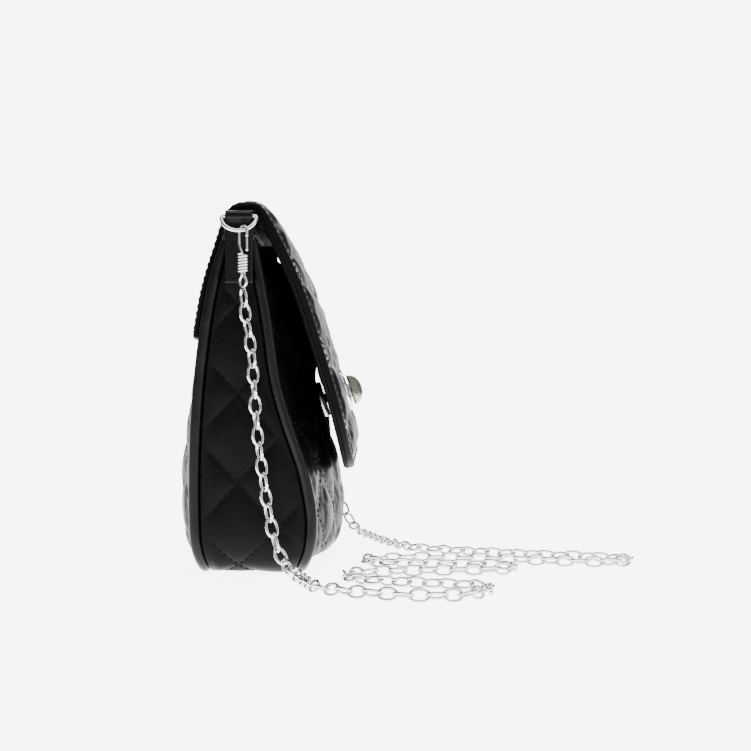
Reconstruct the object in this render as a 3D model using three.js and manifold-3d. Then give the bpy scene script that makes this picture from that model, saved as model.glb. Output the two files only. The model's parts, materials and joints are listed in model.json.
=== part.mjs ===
// A small quilted crossbody purse with a wrap-over flap, a decorative turn lock over a magnetic snap,
// and a removable chain strap on two wire snap hooks.
// Millimetres, +Z up, X across the width, front towards -Y, resting on Z = 0.
import * as THREE from "three";
import { mergeVertices } from "three/addons/utils/BufferGeometryUtils.js";
import Module from "manifold-3d";

// Driving dimensions
const BODY_WIDTH = 190;
const BODY_HEIGHT = 134; // top edge of the gussets and of the front panel
const CORNER_RADIUS = 16; // lower corners, seen from the front
const PIPING_RADIUS = 2.4;
const SKIN = 2.4; // a quilted panel with its wadding
const LINING = 0.8;
const GAP = 0.35; // between neighbours that touch or are sewn together
const BACK_BULGE = 9.8;
const BULGE_SINK = 0.8; // how far a panel's edge lies inside its piping
const FLAP_HALF_WIDTH = 92;
const FLAP_CORNER = 26;
const FLAP_SKIN = 3.2;
const FLAP_LINING = 1.2;
const REAR_STRIP = 2;
const REAR_STRIP_LOW = 95; // height of the rear strip's sewn lower edge
const HINGE = { y: 15.6, z: 143 };
const TAB_WIDTH = 11;
const TAB_THICKNESS = 2.2;
const TAB_LOW = 117;
const RING_WIRE = 0.8; // radius
const RING_RADIUS = 7;
const RING_LEG = 0.4;
const RING_TILT = THREE.MathUtils.degToRad(35);
const HOOK_WIRE = 0.55; // radius
const HOOK_HALF_WIDTH = 2.6;
const HOOK_TWIST = THREE.MathUtils.degToRad(40);
const CHAIN_RADIUS = 2.5;
const CHAIN_WALL = 0.26; // gives the tube the mass of the wire in the links

// Sizes that follow from them
const SEAM = 2 * PIPING_RADIUS + GAP; // from the outer edge to the edge of a gusset or panel
const FLAT_HALF = BODY_WIDTH / 2 - CORNER_RADIUS;
const ARC_LENGTH = (CORNER_RADIUS * Math.PI) / 2;
const HOOP_HALF = FLAT_HALF + ARC_LENGTH + BODY_HEIGHT - CORNER_RADIUS;
const TAB_CENTRE = { x: BODY_WIDTH / 2 + 1.5, y: 9.2 };
const RING_BAR_Z = 143.7;
const HOOK_Y = TAB_CENTRE.y - 1.9;

const part = new THREE.Group();

// ---------- materials ----------
const leather = () => new THREE.MeshStandardMaterial({ color: 0x111113, roughness: 0.42, metalness: 0 });
const fabric = () => new THREE.MeshStandardMaterial({ color: 0x1b1a1c, roughness: 0.9, metalness: 0 });
const silver = () => new THREE.MeshStandardMaterial({ color: 0xd9d7d2, roughness: 0.18, metalness: 1 });
const darkMetal = () => new THREE.MeshStandardMaterial({ color: 0x6f6c62, roughness: 0.14, metalness: 1 });
const board = () => new THREE.MeshStandardMaterial({ color: 0x8a7d6a, roughness: 0.9, metalness: 0 });

function add(name, geometry, material, parent = part) {
  const mesh = new THREE.Mesh(geometry, material);
  mesh.name = name;
  parent.add(mesh);
  return mesh;
}

// ---------- solid-making helpers ----------

// A closed solid between two surfaces, each a function of u and v from 0 to 1.
// outer is on the left of u x v, so that the faces point outwards.
function slab(outer, inner, uCount, vCount) {
  const positions = [];
  const index = [];
  for (const surface of [outer, inner])
    for (let j = 0; j <= vCount; j++)
      for (let i = 0; i <= uCount; i++) positions.push(...surface(i / uCount, j / vCount).toArray());
  const layer = (uCount + 1) * (vCount + 1);
  const at = (side, i, j) => side * layer + j * (uCount + 1) + i;
  const quad = (a, b, c, d) => index.push(a, b, c, a, c, d);
  for (let j = 0; j < vCount; j++)
    for (let i = 0; i < uCount; i++) {
      quad(at(0, i, j), at(0, i + 1, j), at(0, i + 1, j + 1), at(0, i, j + 1));
      quad(at(1, i, j), at(1, i, j + 1), at(1, i + 1, j + 1), at(1, i + 1, j));
    }
  for (let i = 0; i < uCount; i++) {
    quad(at(0, i, 0), at(1, i, 0), at(1, i + 1, 0), at(0, i + 1, 0));
    quad(at(0, i, vCount), at(0, i + 1, vCount), at(1, i + 1, vCount), at(1, i, vCount));
  }
  for (let j = 0; j < vCount; j++) {
    quad(at(0, 0, j), at(0, 0, j + 1), at(1, 0, j + 1), at(1, 0, j));
    quad(at(0, uCount, j), at(1, uCount, j), at(1, uCount, j + 1), at(0, uCount, j + 1));
  }
  const geometry = new THREE.BufferGeometry();
  geometry.setAttribute("position", new THREE.Float32BufferAttribute(positions, 3));
  geometry.setIndex(index);
  geometry.computeVertexNormals();
  return geometry;
}

// A closed solid through rings of equally many points, with a flat cap on the first and the last.
function ringLoft(rings) {
  const count = rings[0].length;
  const positions = rings.flat().flatMap((p) => p.toArray());
  const index = [];
  for (let r = 0; r + 1 < rings.length; r++)
    for (let i = 0; i < count; i++) {
      const next = (i + 1) % count;
      const [a, b] = [r * count + i, r * count + next];
      index.push(a, b, b + count, a, b + count, a + count);
    }
  const last = (rings.length - 1) * count;
  for (let i = 1; i + 1 < count; i++) {
    index.push(0, i + 1, i);
    index.push(last, last + i, last + i + 1);
  }
  const geometry = new THREE.BufferGeometry();
  geometry.setAttribute("position", new THREE.Float32BufferAttribute(positions, 3));
  geometry.setIndex(index);
  geometry.computeVertexNormals();
  return geometry;
}

function tube(points, radius, sides, steps, wall = radius) {
  const section = new THREE.Shape();
  section.absarc(0, 0, radius, 0, 2 * Math.PI, false);
  if (wall < radius) {
    const bore = new THREE.Path();
    bore.absarc(0, 0, radius - wall, 0, 2 * Math.PI, true);
    section.holes.push(bore);
  }
  const extrudePath = new THREE.CatmullRomCurve3(points, false, "centripetal");
  return new THREE.ExtrudeGeometry(section, { steps, extrudePath, curveSegments: sides / 2 });
}

const wasm = await Module();
wasm.setup();

function toSolid(geometry) {
  const bare = geometry.clone();
  bare.deleteAttribute("normal");
  bare.deleteAttribute("uv");
  const merged = mergeVertices(bare, 1e-4);
  const triVerts = new Uint32Array(merged.index.array);
  const vertProperties = merged.attributes.position.array;
  return new wasm.Manifold(new wasm.Mesh({ numProp: 3, vertProperties, triVerts }));
}

function toGeometry(solid) {
  const { vertProperties, triVerts } = solid.getMesh();
  const geometry = new THREE.BufferGeometry();
  geometry.setAttribute("position", new THREE.BufferAttribute(vertProperties, 3));
  geometry.setIndex(new THREE.BufferAttribute(triVerts, 1));
  geometry.computeVertexNormals();
  return geometry;
}

// ---------- the bag's side profile ----------

// A value at height z, on a smooth curve through points of [z, value] in rising z.
function profile(points) {
  const curve = new THREE.SplineCurve(points.map(([z, y]) => new THREE.Vector2(z, y)));
  return (z) => {
    let [low, high] = [0, 1];
    for (let step = 0; step < 24; step++) {
      const middle = (low + high) / 2;
      if (curve.getPoint(middle).x < z) low = middle;
      else high = middle;
    }
    return curve.getPoint((low + high) / 2).y;
  };
}

const frontEdge = profile([
  [0, -17.6], [10, -21.2], [24, -21.9], [42, -18.4], [60, -12.4], [78, -7.4], [104, -3.6], [134, 2], [150, 5],
]);
const backEdge = profile([
  [0, 26.4], [12, 29.2], [34, 29.9], [60, 29.2], [86, 27], [114, 22.8], [134, 17], [150, 12],
]);

// How far the front stands out at its middle: fullest low down and again under the flap, drawn in at the snap.
const frontFullness = profile([
  [0, 0], [5, 6.8], [10, 8.8], [24, 9.8], [42, 9.7], [54, 9.3], [62, 8.9], [70, 8.1], [78, 8.5], [86, 12],
  [94, 13], [104, 11.8], [115, 9.2], [126, 5.2], [134, 0],
]);

// The back swells most in its lower third.
function backFullness(z) {
  const height = THREE.MathUtils.clamp(z / BODY_HEIGHT, 0, 1);
  return BACK_BULGE * Math.sin(Math.PI * height ** 0.443);
}

// A panel's share of its fullness, none at its side edges.
function crown(across) {
  return 1 - Math.abs(across) ** 2.5;
}

// A point of the hoop that runs down one side, along the bottom and up the other, s from the bottom's middle.
function hoop(s, inset) {
  const side = Math.sign(s) || 1;
  const run = Math.abs(s);
  if (run <= FLAT_HALF) return { x: side * run, z: inset };
  if (run >= FLAT_HALF + ARC_LENGTH)
    return { x: side * (BODY_WIDTH / 2 - inset), z: CORNER_RADIUS + run - FLAT_HALF - ARC_LENGTH };
  const angle = (run - FLAT_HALF) / CORNER_RADIUS;
  const radius = CORNER_RADIUS - inset;
  return { x: side * (FLAT_HALF + radius * Math.sin(angle)), z: CORNER_RADIUS - radius * Math.cos(angle) };
}

// Half the width at height z inside the hoop's outline, drawn in by inset.
function halfWidth(z, inset) {
  const radius = CORNER_RADIUS - inset;
  const drop = Math.max(0, CORNER_RADIUS - z);
  return FLAT_HALF + Math.sqrt(Math.max(0, radius ** 2 - Math.min(drop, radius) ** 2));
}

// ---------- gussets, base and piping ----------

function hoopPanel(from, to, inset, uCount, vCount) {
  const surface = (depth) => (u, v) => {
    const s = THREE.MathUtils.lerp(from, to, u);
    const rim = hoop(s, 0).z;
    const { x, z } = hoop(s, depth);
    const y = THREE.MathUtils.lerp(frontEdge(rim) + SEAM, backEdge(rim) - SEAM, v);
    return new THREE.Vector3(x, y, z);
  };
  return slab(surface(inset + SKIN), surface(inset), uCount, vCount);
}

const CORNER_START = FLAT_HALF + GAP;
add("base_panel", hoopPanel(-FLAT_HALF, FLAT_HALF, 0, 6, 2), leather());
add("gusset_left", hoopPanel(-HOOP_HALF, -CORNER_START, 0.5, 22, 2), leather());
add("gusset_right", hoopPanel(CORNER_START, HOOP_HALF, 0.5, 22, 2), leather());

function piping(edge, inward) {
  const points = [];
  const count = 48;
  for (let i = 0; i <= count; i++) {
    const s = THREE.MathUtils.lerp(-HOOP_HALF, HOOP_HALF, i / count);
    const { x, z } = hoop(s, PIPING_RADIUS);
    points.push(new THREE.Vector3(x, edge(hoop(s, 0).z) + inward * PIPING_RADIUS, z));
  }
  return tube(points, PIPING_RADIUS, 8, 56);
}
add("piping_front", piping(frontEdge, 1), leather());
add("piping_back", piping(backEdge, -1), leather());

// ---------- front and back panels ----------

// The outer surface of a bulging panel; outward is +1 for the back and -1 for the front.
function panelY(edge, outward, fullness, across, z) {
  return edge(z) + outward * (fullness(z) * crown(across) - BULGE_SINK);
}

function bulgingPanel(edge, outward, fullness, top, vCount) {
  const surface = (depth) => (u, v) => {
    const z = THREE.MathUtils.lerp(SEAM, top, v);
    const across = 2 * u - 1;
    const y = panelY(edge, outward, fullness, across, z) - outward * depth;
    return new THREE.Vector3(across * halfWidth(z, SEAM), y, z);
  };
  const [near, far] = outward < 0 ? [surface(0), surface(SKIN)] : [surface(SKIN), surface(0)];
  return slab(near, far, 14, vCount);
}
add("front_panel", bulgingPanel(frontEdge, -1, frontFullness, BODY_HEIGHT, 18), leather());
add("back_panel", bulgingPanel(backEdge, 1, backFullness, BODY_HEIGHT + 2, 14), leather());

// ---------- inside: lining and base stiffener ----------

const LINING_SIDE = SEAM + 1.8;
const LINING_FLOOR = 6.2;
const PANEL_TO_LINING = BULGE_SINK + SKIN + GAP;
const LINING_FULLNESS = 0.86; // the lining stands out a little less than the panels

function liningRing(z, wall) {
  const half = halfWidth(z, LINING_SIDE) - wall;
  const points = [];
  const count = 12;
  for (let i = 0; i <= count; i++) {
    const across = 2 * (i / count) - 1;
    const y = frontEdge(z) + PANEL_TO_LINING + wall - LINING_FULLNESS * frontFullness(z) * crown(across);
    points.push(new THREE.Vector3(across * half, y, z));
  }
  for (let i = count; i >= 0; i--) {
    const across = 2 * (i / count) - 1;
    const y = backEdge(z) - PANEL_TO_LINING - wall + LINING_FULLNESS * backFullness(z) * crown(across);
    points.push(new THREE.Vector3(across * half, y, z));
  }
  return points;
}

function lining() {
  const heights = [];
  for (let i = 0; i <= 14; i++) heights.push(THREE.MathUtils.lerp(LINING_FLOOR, BODY_HEIGHT - 1, (i / 14) ** 1.1));
  const inside = heights.slice().reverse();
  inside[inside.length - 1] = LINING_FLOOR + LINING;
  return ringLoft([...heights.map((z) => liningRing(z, 0)), ...inside.map((z) => liningRing(z, LINING))]);
}
add("lining", lining(), fabric());

const stiffener = new THREE.BoxGeometry(2 * FLAT_HALF - 6, 29, 1.6);
add("base_stiffener", stiffener, board()).position.set(0, 4.4, 4.2);

// ---------- flap ----------

// The flap's outer face from the hinge over the top and down the front, as [y, z].
const flapLine = new THREE.SplineCurve(
  [[HINGE.y, HINGE.z + 2.2], [12, 149], [6, 150.2], [0.4, 148.4], [-6.4, 137.5], [-16, 116.5], [-23, 95.5], [-29.6, 74], [-34, 57], [-37.2, 42]].map(
    ([y, z]) => new THREE.Vector2(y, z),
  ),
);
const FLAP_LENGTH = flapLine.getLength();

function flapSurface(depth) {
  return (u, v) => {
    const spot = flapLine.getPointAt(v);
    const along = flapLine.getTangentAt(v);
    const toEnd = FLAP_LENGTH * (1 - v);
    const drop = Math.max(0, FLAP_CORNER - toEnd);
    const rounding = FLAP_CORNER - Math.sqrt(Math.max(0, FLAP_CORNER ** 2 - drop ** 2));
    const x = (1 - 2 * u) * (FLAP_HALF_WIDTH - rounding);
    return new THREE.Vector3(x, spot.x - along.y * depth, spot.y + along.x * depth);
  };
}

const flapHinge = new THREE.Group();
flapHinge.name = "flap_assembly";
part.add(flapHinge);
add("flap_outer", slab(flapSurface(0), flapSurface(FLAP_SKIN), 8, 30), leather(), flapHinge);
const liningStart = FLAP_SKIN + GAP;
add("flap_lining", slab(flapSurface(liningStart), flapSurface(liningStart + FLAP_LINING), 8, 30), fabric(), flapHinge);

// The flap's rear strip, sewn down onto the back panel, ends just short of the hinge line.
function rearStripSurface(depth) {
  return (u, v) => {
    const z = THREE.MathUtils.lerp(REAR_STRIP_LOW, HINGE.z - 3.4, v);
    const across = 2 * u - 1;
    const y = backEdge(z) + backFullness(z) * crown(across) + GAP + REAR_STRIP - depth;
    return new THREE.Vector3(across * FLAP_HALF_WIDTH, y, z);
  };
}
add("flap_rear", slab(rearStripSurface(REAR_STRIP), rearStripSurface(0), 12, 8), leather());

// ---------- turn lock and magnetic snap ----------

// The lock stands square to the flap's face; its own +Z points out of the flap and +Y up the face.
const LOCK = { y: -30.2, z: 72.2, tilt: THREE.MathUtils.degToRad(72) };
const FRAME_HEIGHT = 3;
const KNOB = { radius: 6.8, thickness: 2.4, reach: 5.4 };
const FLAP_TOTAL = FLAP_SKIN + GAP + FLAP_LINING;

function lockGroup(parent) {
  const group = new THREE.Group();
  group.position.set(0, LOCK.y, LOCK.z);
  group.rotation.x = LOCK.tilt;
  parent.add(group);
  return group;
}

function ellipse(halfX, halfY) {
  const shape = new THREE.Shape();
  shape.absellipse(0, 0, halfX, halfY, 0, 2 * Math.PI, false);
  return shape;
}

function plate(shape, thickness, from, curveSegments = 14) {
  const geometry = new THREE.ExtrudeGeometry(shape, { depth: thickness, bevelEnabled: false, curveSegments });
  return geometry.translate(0, 0, from);
}

function annulus(outer, inner, thickness, from) {
  const shape = ellipse(outer, outer);
  shape.holes.push(ellipse(inner, inner));
  return plate(shape, thickness, from);
}

const flapLock = lockGroup(flapHinge);
const frame = ellipse(7.4, 8.6);
frame.holes.push(ellipse(4.4, 4.4));
add("lock_frame", plate(frame, FRAME_HEIGHT, 0.5), silver(), flapLock);

// The thumb turn: a half disc on edge, on a round post that sits in the frame.
function knob() {
  const half = new THREE.Shape();
  half.moveTo(-KNOB.radius, 0);
  half.lineTo(KNOB.radius, 0);
  half.bezierCurveTo(KNOB.radius, KNOB.reach * 1.33, -KNOB.radius, KNOB.reach * 1.33, -KNOB.radius, 0);
  const blade = plate(half, KNOB.thickness, -KNOB.thickness / 2);
  blade.rotateX(Math.PI / 2).rotateZ(Math.PI / 2).translate(0, 0, FRAME_HEIGHT + 1);
  const post = new THREE.CylinderGeometry(3.2, 3.2, FRAME_HEIGHT + 1.2, 20);
  post.rotateX(Math.PI / 2).translate(0, 0, 0.5 + (FRAME_HEIGHT + 1.2) / 2);
  return toGeometry(toSolid(blade).add(toSolid(post)));
}
add("lock_knob", knob(), darkMetal(), flapLock);

// The snap's male half is riveted to the flap's lining, with a stud that enters the female half.
const MALE_FACE = -FLAP_TOTAL - 0.5;
function snapMale() {
  const disc = new THREE.CylinderGeometry(7, 7, 2, 28).rotateX(Math.PI / 2).translate(0, 0, MALE_FACE - 1);
  const stud = new THREE.CylinderGeometry(2, 2, 2.2, 20).rotateX(Math.PI / 2).translate(0, 0, MALE_FACE - 2.9);
  return toGeometry(toSolid(disc).add(toSolid(stud)));
}
add("snap_male", snapMale(), silver(), flapLock);

// The female half, a magnet in a metal cup, is riveted to the front panel.
const FEMALE_HEIGHT = 4.4;
const frontLock = lockGroup(part);
add("snap_female", annulus(8, 3.4, FEMALE_HEIGHT, MALE_FACE - 2.4 - FEMALE_HEIGHT), silver(), frontLock);

// ---------- strap tabs, D-rings and hooks, one set on each side ----------

function strapTab(side) {
  const eye = new THREE.Shape();
  const half = TAB_THICKNESS / 2;
  const radius = 2.4;
  const meet = Math.sqrt(radius ** 2 - half ** 2);
  const start = Math.atan2(-meet, half);
  eye.moveTo(-half, TAB_LOW - RING_BAR_Z);
  eye.lineTo(half, TAB_LOW - RING_BAR_Z);
  eye.lineTo(half, -meet);
  eye.absarc(0, 0, radius, start, Math.PI - start, false);
  eye.lineTo(-half, TAB_LOW - RING_BAR_Z);
  const bore = new THREE.Path();
  bore.absarc(0, 0, RING_WIRE + 0.6, 0, 2 * Math.PI, true);
  eye.holes.push(bore);
  const geometry = new THREE.ExtrudeGeometry(eye, { depth: TAB_WIDTH, bevelEnabled: false, curveSegments: 14 });
  geometry.translate(0, 0, -TAB_WIDTH / 2).rotateX(Math.PI / 2);
  return geometry.translate(side * TAB_CENTRE.x, TAB_CENTRE.y, RING_BAR_Z);
}

// A D-ring of bent wire: its straight bar, with the butt joint at its middle, lies in the tab's fold.
function dRing(side) {
  const drop = (y, down) =>
    new THREE.Vector3(
      side * (TAB_CENTRE.x + down * Math.sin(RING_TILT)),
      TAB_CENTRE.y + y,
      RING_BAR_Z - down * Math.cos(RING_TILT),
    );
  const points = [drop(0.2, 0), drop(2.6, 0), drop(5.4, 0), drop(RING_RADIUS - 0.3, 0.25), drop(RING_RADIUS, 1)];
  const turns = 14;
  for (let i = 1; i < turns; i++) {
    const angle = (Math.PI * i) / turns;
    const down = RING_LEG + RING_RADIUS * Math.sin(angle);
    if (down > 1.6) points.push(drop(RING_RADIUS * Math.cos(angle), down));
  }
  points.push(drop(-RING_RADIUS, 1), drop(0.3 - RING_RADIUS, 0.25), drop(-5.4, 0), drop(-2.6, 0), drop(-0.2, 0));
  return tube(points, RING_WIRE, 8, 44);
}

const RING_DROP = RING_LEG + Math.sqrt(RING_RADIUS ** 2 - (TAB_CENTRE.y - HOOK_Y) ** 2);
const HOOK_X = TAB_CENTRE.x + RING_DROP * Math.sin(RING_TILT);
const HOOK_TOP = RING_BAR_Z - RING_DROP * Math.cos(RING_TILT) + RING_WIRE + 0.3 + HOOK_WIRE;
const COIL_TOP = HOOK_TOP - 10.5;
const COIL_BOTTOM = COIL_TOP - 8.5;
const EYE_BOTTOM = COIL_BOTTOM - 5.4;

// A point of the hook's plane: offset from its axis, outwards and to the front, and a height.
function hookPoint(side, offset, z) {
  const x = HOOK_X + offset * Math.cos(HOOK_TWIST);
  return new THREE.Vector3(side * x, HOOK_Y - offset * Math.sin(HOOK_TWIST), z);
}

// One wire: the nose, over the top, down the back limb, through the coil, and round the lower eye.
function hookWire(side) {
  const bend = HOOK_TOP - HOOK_HALF_WIDTH;
  const points = [hookPoint(side, HOOK_HALF_WIDTH, bend - 1.6)];
  for (let i = 0; i <= 8; i++) {
    const angle = (Math.PI * i) / 8;
    points.push(hookPoint(side, HOOK_HALF_WIDTH * Math.cos(angle), bend + HOOK_HALF_WIDTH * Math.sin(angle)));
  }
  points.push(hookPoint(side, -HOOK_HALF_WIDTH, COIL_TOP + 3.4), hookPoint(side, -1.5, COIL_TOP + 1.2));
  points.push(hookPoint(side, -0.75, COIL_TOP - 0.6), hookPoint(side, -0.75, COIL_BOTTOM + 0.4));
  for (let i = 0; i <= 8; i++) {
    const angle = THREE.MathUtils.degToRad(125 + (290 * i) / 8);
    points.push(hookPoint(side, 2.2 * Math.cos(angle), EYE_BOTTOM + 2.2 + 2.2 * Math.sin(angle)));
  }
  points.push(hookPoint(side, 0.75, COIL_BOTTOM + 0.4), hookPoint(side, 0.75, COIL_TOP - 1.5));
  return tube(points, HOOK_WIRE, 8, 46);
}

function hookCoil(side) {
  const profile = [[1.5, COIL_BOTTOM], [2.25, COIL_BOTTOM], [2.25, COIL_TOP], [1.5, COIL_TOP], [1.5, COIL_BOTTOM]];
  const geometry = new THREE.LatheGeometry(profile.map(([r, z]) => new THREE.Vector2(r, z)), 20);
  geometry.rotateX(Math.PI / 2);
  return geometry.translate(side * HOOK_X, HOOK_Y, 0);
}

function hookGate(side) {
  const low = hookPoint(side, HOOK_HALF_WIDTH, COIL_TOP + 0.5);
  const high = hookPoint(side, HOOK_HALF_WIDTH, HOOK_TOP - HOOK_HALF_WIDTH - 2.1);
  const geometry = new THREE.CylinderGeometry(0.5, 0.5, high.z - low.z, 10).rotateX(Math.PI / 2);
  return geometry.translate(low.x, low.y, (low.z + high.z) / 2);
}

for (const [name, side] of [["left", -1], ["right", 1]]) {
  add("strap_tab_" + name, strapTab(side), leather());
  add("dring_" + name, dRing(side), silver());
  add("hook_wire_" + name, hookWire(side), silver());
  add("hook_coil_" + name, hookCoil(side), silver());
  add("hook_gate_" + name, hookGate(side), silver());
}

// ---------- chain strap ----------

// The chain's run from the left hook's eye, down to the table, to and fro in front of the purse,
// and up to the right hook's eye.
const chainTop = EYE_BOTTOM - HOOK_WIRE - GAP - 0.2;
const chainRoute = [
  [-HOOK_X, HOOK_Y, chainTop], [-HOOK_X, 6.4, 104], [-101.4, 4, 90], [-101.8, 1.8, 60], [-102.6, -1, 38],
  [-104, -3.4, 24], [-107, -6.6, 12], [-113, -11, 4.6], [-124, -15.5, 2.7], [-142, -19, 2.7], [-160, -23, 2.7],
  [-174, -34, 2.7], [-182, -47, 2.7], [-188, -60, 2.7], [-188, -72, 2.7], [-179, -82, 2.7], [-166, -87, 2.7],
  [-156, -82, 2.7], [-150, -70, 2.7], [-144, -54, 2.7], [-133, -38, 2.7], [-120, -34, 2.7], [-109, -43, 2.7],
  [-103, -62, 2.7], [-100, -84, 2.7], [-95, -99, 2.7], [-85, -101, 2.7], [-78, -90, 2.7], [-74, -68, 2.7],
  [-69, -48, 2.7], [-60, -41, 2.7], [-52, -49, 2.7], [-50, -72, 2.7], [-55, -98, 2.7], [-64, -124, 2.7],
  [-68, -143, 2.7], [-61, -152, 2.7], [-51, -146, 2.7], [-41, -126, 2.7], [-31, -104, 2.7], [-18, -82, 2.7],
  [0, -62, 2.7], [24, -52, 2.7], [50, -46, 2.7], [76, -40, 2.7], [92, -35, 4.6], [98, -30.6, 11],
  [101, -24, 26], [101.4, -14, 52], [101.2, -3, 80], [HOOK_X, 4.8, 104], [HOOK_X, HOOK_Y, chainTop],
];
add("chain", tube(chainRoute.map((p) => new THREE.Vector3(...p)), CHAIN_RADIUS, 8, 80, CHAIN_WALL), silver());

export default part;
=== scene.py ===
import json
import math
import random

import bmesh
import bpy
import numpy as np
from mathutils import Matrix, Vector

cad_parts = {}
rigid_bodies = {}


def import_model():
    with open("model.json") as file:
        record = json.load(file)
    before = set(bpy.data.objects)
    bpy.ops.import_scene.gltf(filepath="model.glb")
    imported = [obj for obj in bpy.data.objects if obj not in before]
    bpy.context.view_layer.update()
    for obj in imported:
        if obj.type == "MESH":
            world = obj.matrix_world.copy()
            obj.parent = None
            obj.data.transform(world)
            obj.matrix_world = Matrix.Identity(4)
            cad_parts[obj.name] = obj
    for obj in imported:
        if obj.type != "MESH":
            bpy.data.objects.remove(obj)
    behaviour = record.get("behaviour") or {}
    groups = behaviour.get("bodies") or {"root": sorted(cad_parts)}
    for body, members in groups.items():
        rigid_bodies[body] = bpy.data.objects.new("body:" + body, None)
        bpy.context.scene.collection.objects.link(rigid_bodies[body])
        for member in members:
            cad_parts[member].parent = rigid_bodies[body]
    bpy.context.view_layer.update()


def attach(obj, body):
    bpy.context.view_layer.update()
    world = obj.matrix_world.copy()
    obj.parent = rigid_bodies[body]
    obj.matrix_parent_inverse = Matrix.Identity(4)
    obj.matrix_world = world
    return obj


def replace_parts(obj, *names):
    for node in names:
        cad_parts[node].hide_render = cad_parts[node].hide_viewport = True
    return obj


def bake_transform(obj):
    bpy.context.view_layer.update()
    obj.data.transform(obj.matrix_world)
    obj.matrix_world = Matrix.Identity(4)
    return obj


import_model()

# The purse's sizes are in millimetres, and MM turns them into metres. The camera, the materials' bumps, the
# stage and the lights are in metres.
MM = 0.001

# ---------- driving dimensions, which follow the frame's ----------
BODY_WIDTH = 190.0
BODY_HEIGHT = 134.0
CORNER = 16.0
PIPING = 2.4
SEAM = 5.15
SKIN = 2.4
BACK_BULGE = 9.8
BULGE_SINK = 0.8
FLAP_HALF = 92.0
FLAP_CORNER = 26.0
FLAP_THICK = 4.75
FLAP_OUTER = 3.25
FLAT_HALF = BODY_WIDTH / 2 - CORNER
ARC = CORNER * math.pi / 2
QUILT_ACROSS = 32.7
QUILT_ALONG = 35.9

LINK_LENGTH = 8.6
LINK_WIDTH = 5.6
LINK_WIRE = 0.62
LINK_PITCH = LINK_LENGTH - 4 * LINK_WIRE

FRONT_POINTS = [
    (0, -17.6), (10, -21.2), (24, -21.9), (42, -18.4), (60, -12.4), (78, -7.4), (104, -3.6), (134, 2), (150, 5),
]
BACK_POINTS = [
    (0, 26.4), (12, 29.2), (34, 29.9), (60, 29.2), (86, 27), (114, 22.8), (134, 17), (150, 12),
]
FULLNESS_POINTS = [
    (0, 0), (5, 6.8), (10, 8.8), (24, 9.8), (42, 9.7), (54, 9.3), (62, 8.9), (70, 8.1), (78, 8.5), (86, 12),
    (94, 13), (104, 11.8), (115, 9.2), (126, 5.2), (134, 0),
]
FLAP_POINTS = [
    (15.6, 145.2), (12, 149), (6, 150.2), (0.4, 148.4), (-6.4, 137.5), (-16, 116.5), (-23, 95.5), (-29.6, 74),
    (-34, 57), (-37.2, 42),
]
TAB_X, TAB_Y, RING_BAR_Z = 96.5, 9.2, 143.7
TAB_HALF, TAB_LEG, TAB_LOW = 5.5, 1.1, 117.0
RING_HALF, RING_WIRE = 7, 0.8
HOOK_X, HOOK_Y = 100.594, 7.3
HOOK_TOP, COIL_TOP, COIL_LOW, EYE_LOW = 139.504, 129.004, 120.504, 115.104
HOOK_BEND, HOOK_WIRE, GATE_WIRE = 2.6, 0.55, 0.5
HOOK_TWIST = math.radians(40)
EYE_RADIUS = 2.2
COIL_RADIUS, COIL_WIRE, COIL_TURNS = 1.72, 0.54, 6.5
STITCH_RADIUS = 0.26
LOCK_Z = 72.2
CHAIN_TOP = 114.004
CHAIN_ROUTE = [
    (-HOOK_X, HOOK_Y, CHAIN_TOP), (-HOOK_X, 6.4, 104), (-101.4, 4, 90), (-101.8, 1.8, 60), (-102.6, -1, 38),
    (-104, -3.4, 24), (-107, -6.6, 12), (-113, -11, 4.6), (-124, -15.5, 2.7), (-142, -19, 2.7), (-160, -23, 2.7),
    (-174, -34, 2.7), (-182, -47, 2.7), (-188, -60, 2.7), (-188, -72, 2.7), (-179, -82, 2.7), (-166, -87, 2.7),
    (-156, -82, 2.7), (-150, -70, 2.7), (-144, -54, 2.7), (-133, -38, 2.7), (-120, -34, 2.7), (-109, -43, 2.7),
    (-103, -62, 2.7), (-100, -84, 2.7), (-95, -99, 2.7), (-85, -101, 2.7), (-78, -90, 2.7), (-74, -68, 2.7),
    (-69, -48, 2.7), (-60, -41, 2.7), (-52, -49, 2.7), (-50, -72, 2.7), (-55, -98, 2.7), (-64, -124, 2.7),
    (-68, -143, 2.7), (-61, -152, 2.7), (-51, -146, 2.7), (-41, -126, 2.7), (-31, -104, 2.7), (-18, -82, 2.7),
    (0, -62, 2.7), (24, -52, 2.7), (50, -46, 2.7), (76, -40, 2.7), (92, -35, 4.6), (98, -30.6, 11),
    (101, -24, 26), (101.4, -14, 52), (101.2, -3, 80), (HOOK_X, 4.8, 104), (HOOK_X, HOOK_Y, CHAIN_TOP),
]

# ---------- camera, level with the middle of the purse and square to its left side ----------
camera_data = bpy.data.cameras.new("camera")
camera_data.lens = 91
camera_data.sensor_width = 36
camera = bpy.data.objects.new("camera", camera_data)
camera.location = (-0.855, -0.04535, 0.080)
camera.rotation_euler = (math.pi / 2, 0, -math.pi / 2)
bpy.context.scene.collection.objects.link(camera)
bpy.context.scene.camera = camera


# ---------- materials ----------
def new_material(name):
    material = bpy.data.materials.new(name)
    material.use_nodes = True
    tree = material.node_tree
    return material, tree, tree.nodes["Principled BSDF"]


def noise(tree, scale, detail):
    coordinates = tree.nodes.new("ShaderNodeTexCoord")
    texture = tree.nodes.new("ShaderNodeTexNoise")
    texture.inputs["Scale"].default_value = scale
    texture.inputs["Detail"].default_value = detail
    texture.inputs["Roughness"].default_value = 0.55
    tree.links.new(coordinates.outputs["Object"], texture.inputs["Vector"])
    return texture.outputs["Fac"]


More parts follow.
